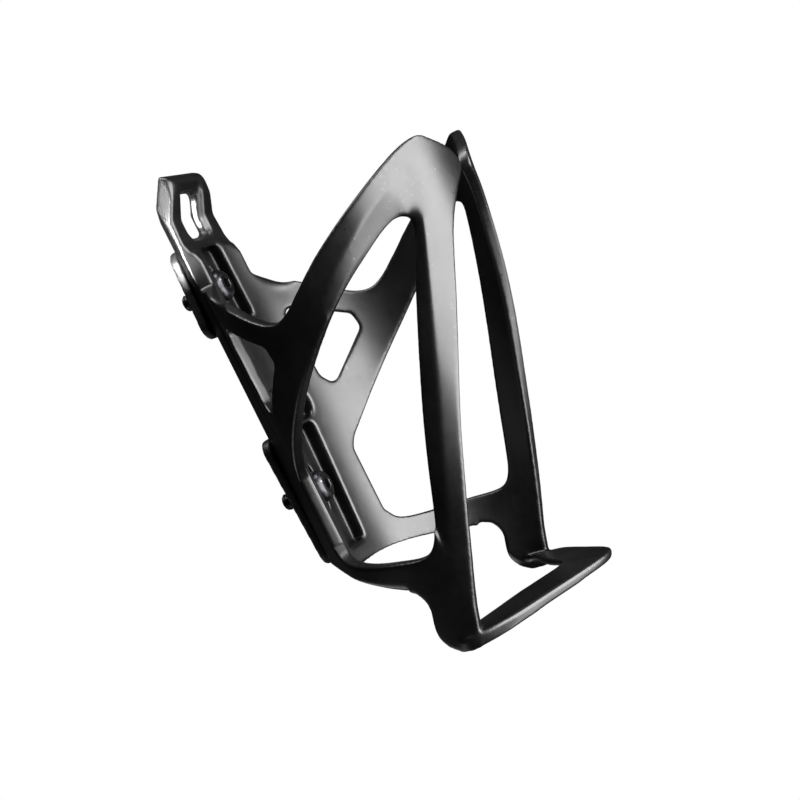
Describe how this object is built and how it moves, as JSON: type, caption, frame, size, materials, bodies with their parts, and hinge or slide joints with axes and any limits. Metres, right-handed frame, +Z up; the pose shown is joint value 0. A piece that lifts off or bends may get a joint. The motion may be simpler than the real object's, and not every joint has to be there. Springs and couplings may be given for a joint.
{
  "type": "bottle cage",
  "caption": "Side-arm cage that grips a drinks bottle on a bicycle frame, with slotted bolt channels, rear pads and button-head bolts.",
  "frame": {"origin": "midway between the two frame bolts, on the back face of the frame pads, where the cage sits against the bicycle frame", "axes": "+Z up along the bottle, +Y towards the bicycle frame, -Y towards the bottle and the arms' tips, +X to the right seen from the front"},
  "size_m": [0.0834, 0.0935, 0.1513],
  "materials": {
    "cage_plastic": "satin gloss, moulded",
    "pad_plastic": "matt, moulded",
    "washer_steel": "black oxide",
    "bolt_steel": "black oxide"
  },
  "bodies": {
    "cage": {"cage_body": "cage_plastic", "upper_frame_pad": "pad_plastic", "lower_frame_pad": "pad_plastic"},
    "upper_washer": {"upper_washer": "washer_steel"},
    "lower_washer": {"lower_washer": "washer_steel"},
    "upper_bolt": {"upper_bolt": "bolt_steel"},
    "lower_bolt": {"lower_bolt": "bolt_steel"}
  },
  "joints": [
    {"name": "upper_height_slide", "type": "slide", "parent": "cage", "child": "upper_washer", "axis": [0, 0, 1], "range_m": [-0.005, 0.005]},
    {"name": "lower_height_slide", "type": "slide", "parent": "cage", "child": "lower_washer", "axis": [0, 0, 1], "range_m": [-0.005, 0.005]},
    {"name": "upper_bolt_turn", "type": "hinge", "parent": "upper_washer", "child": "upper_bolt", "pos_m": [0, 0, 0.032], "axis": [0, 1, 0], "continuous": true},
    {"name": "lower_bolt_turn", "type": "hinge", "parent": "lower_washer", "child": "lower_bolt", "pos_m": [0, 0, -0.032], "axis": [0, 1, 0], "continuous": true}
  ],
  "couplings": [
    {"joint": "lower_height_slide", "follows": "upper_height_slide", "ratio": 1}
  ]
}
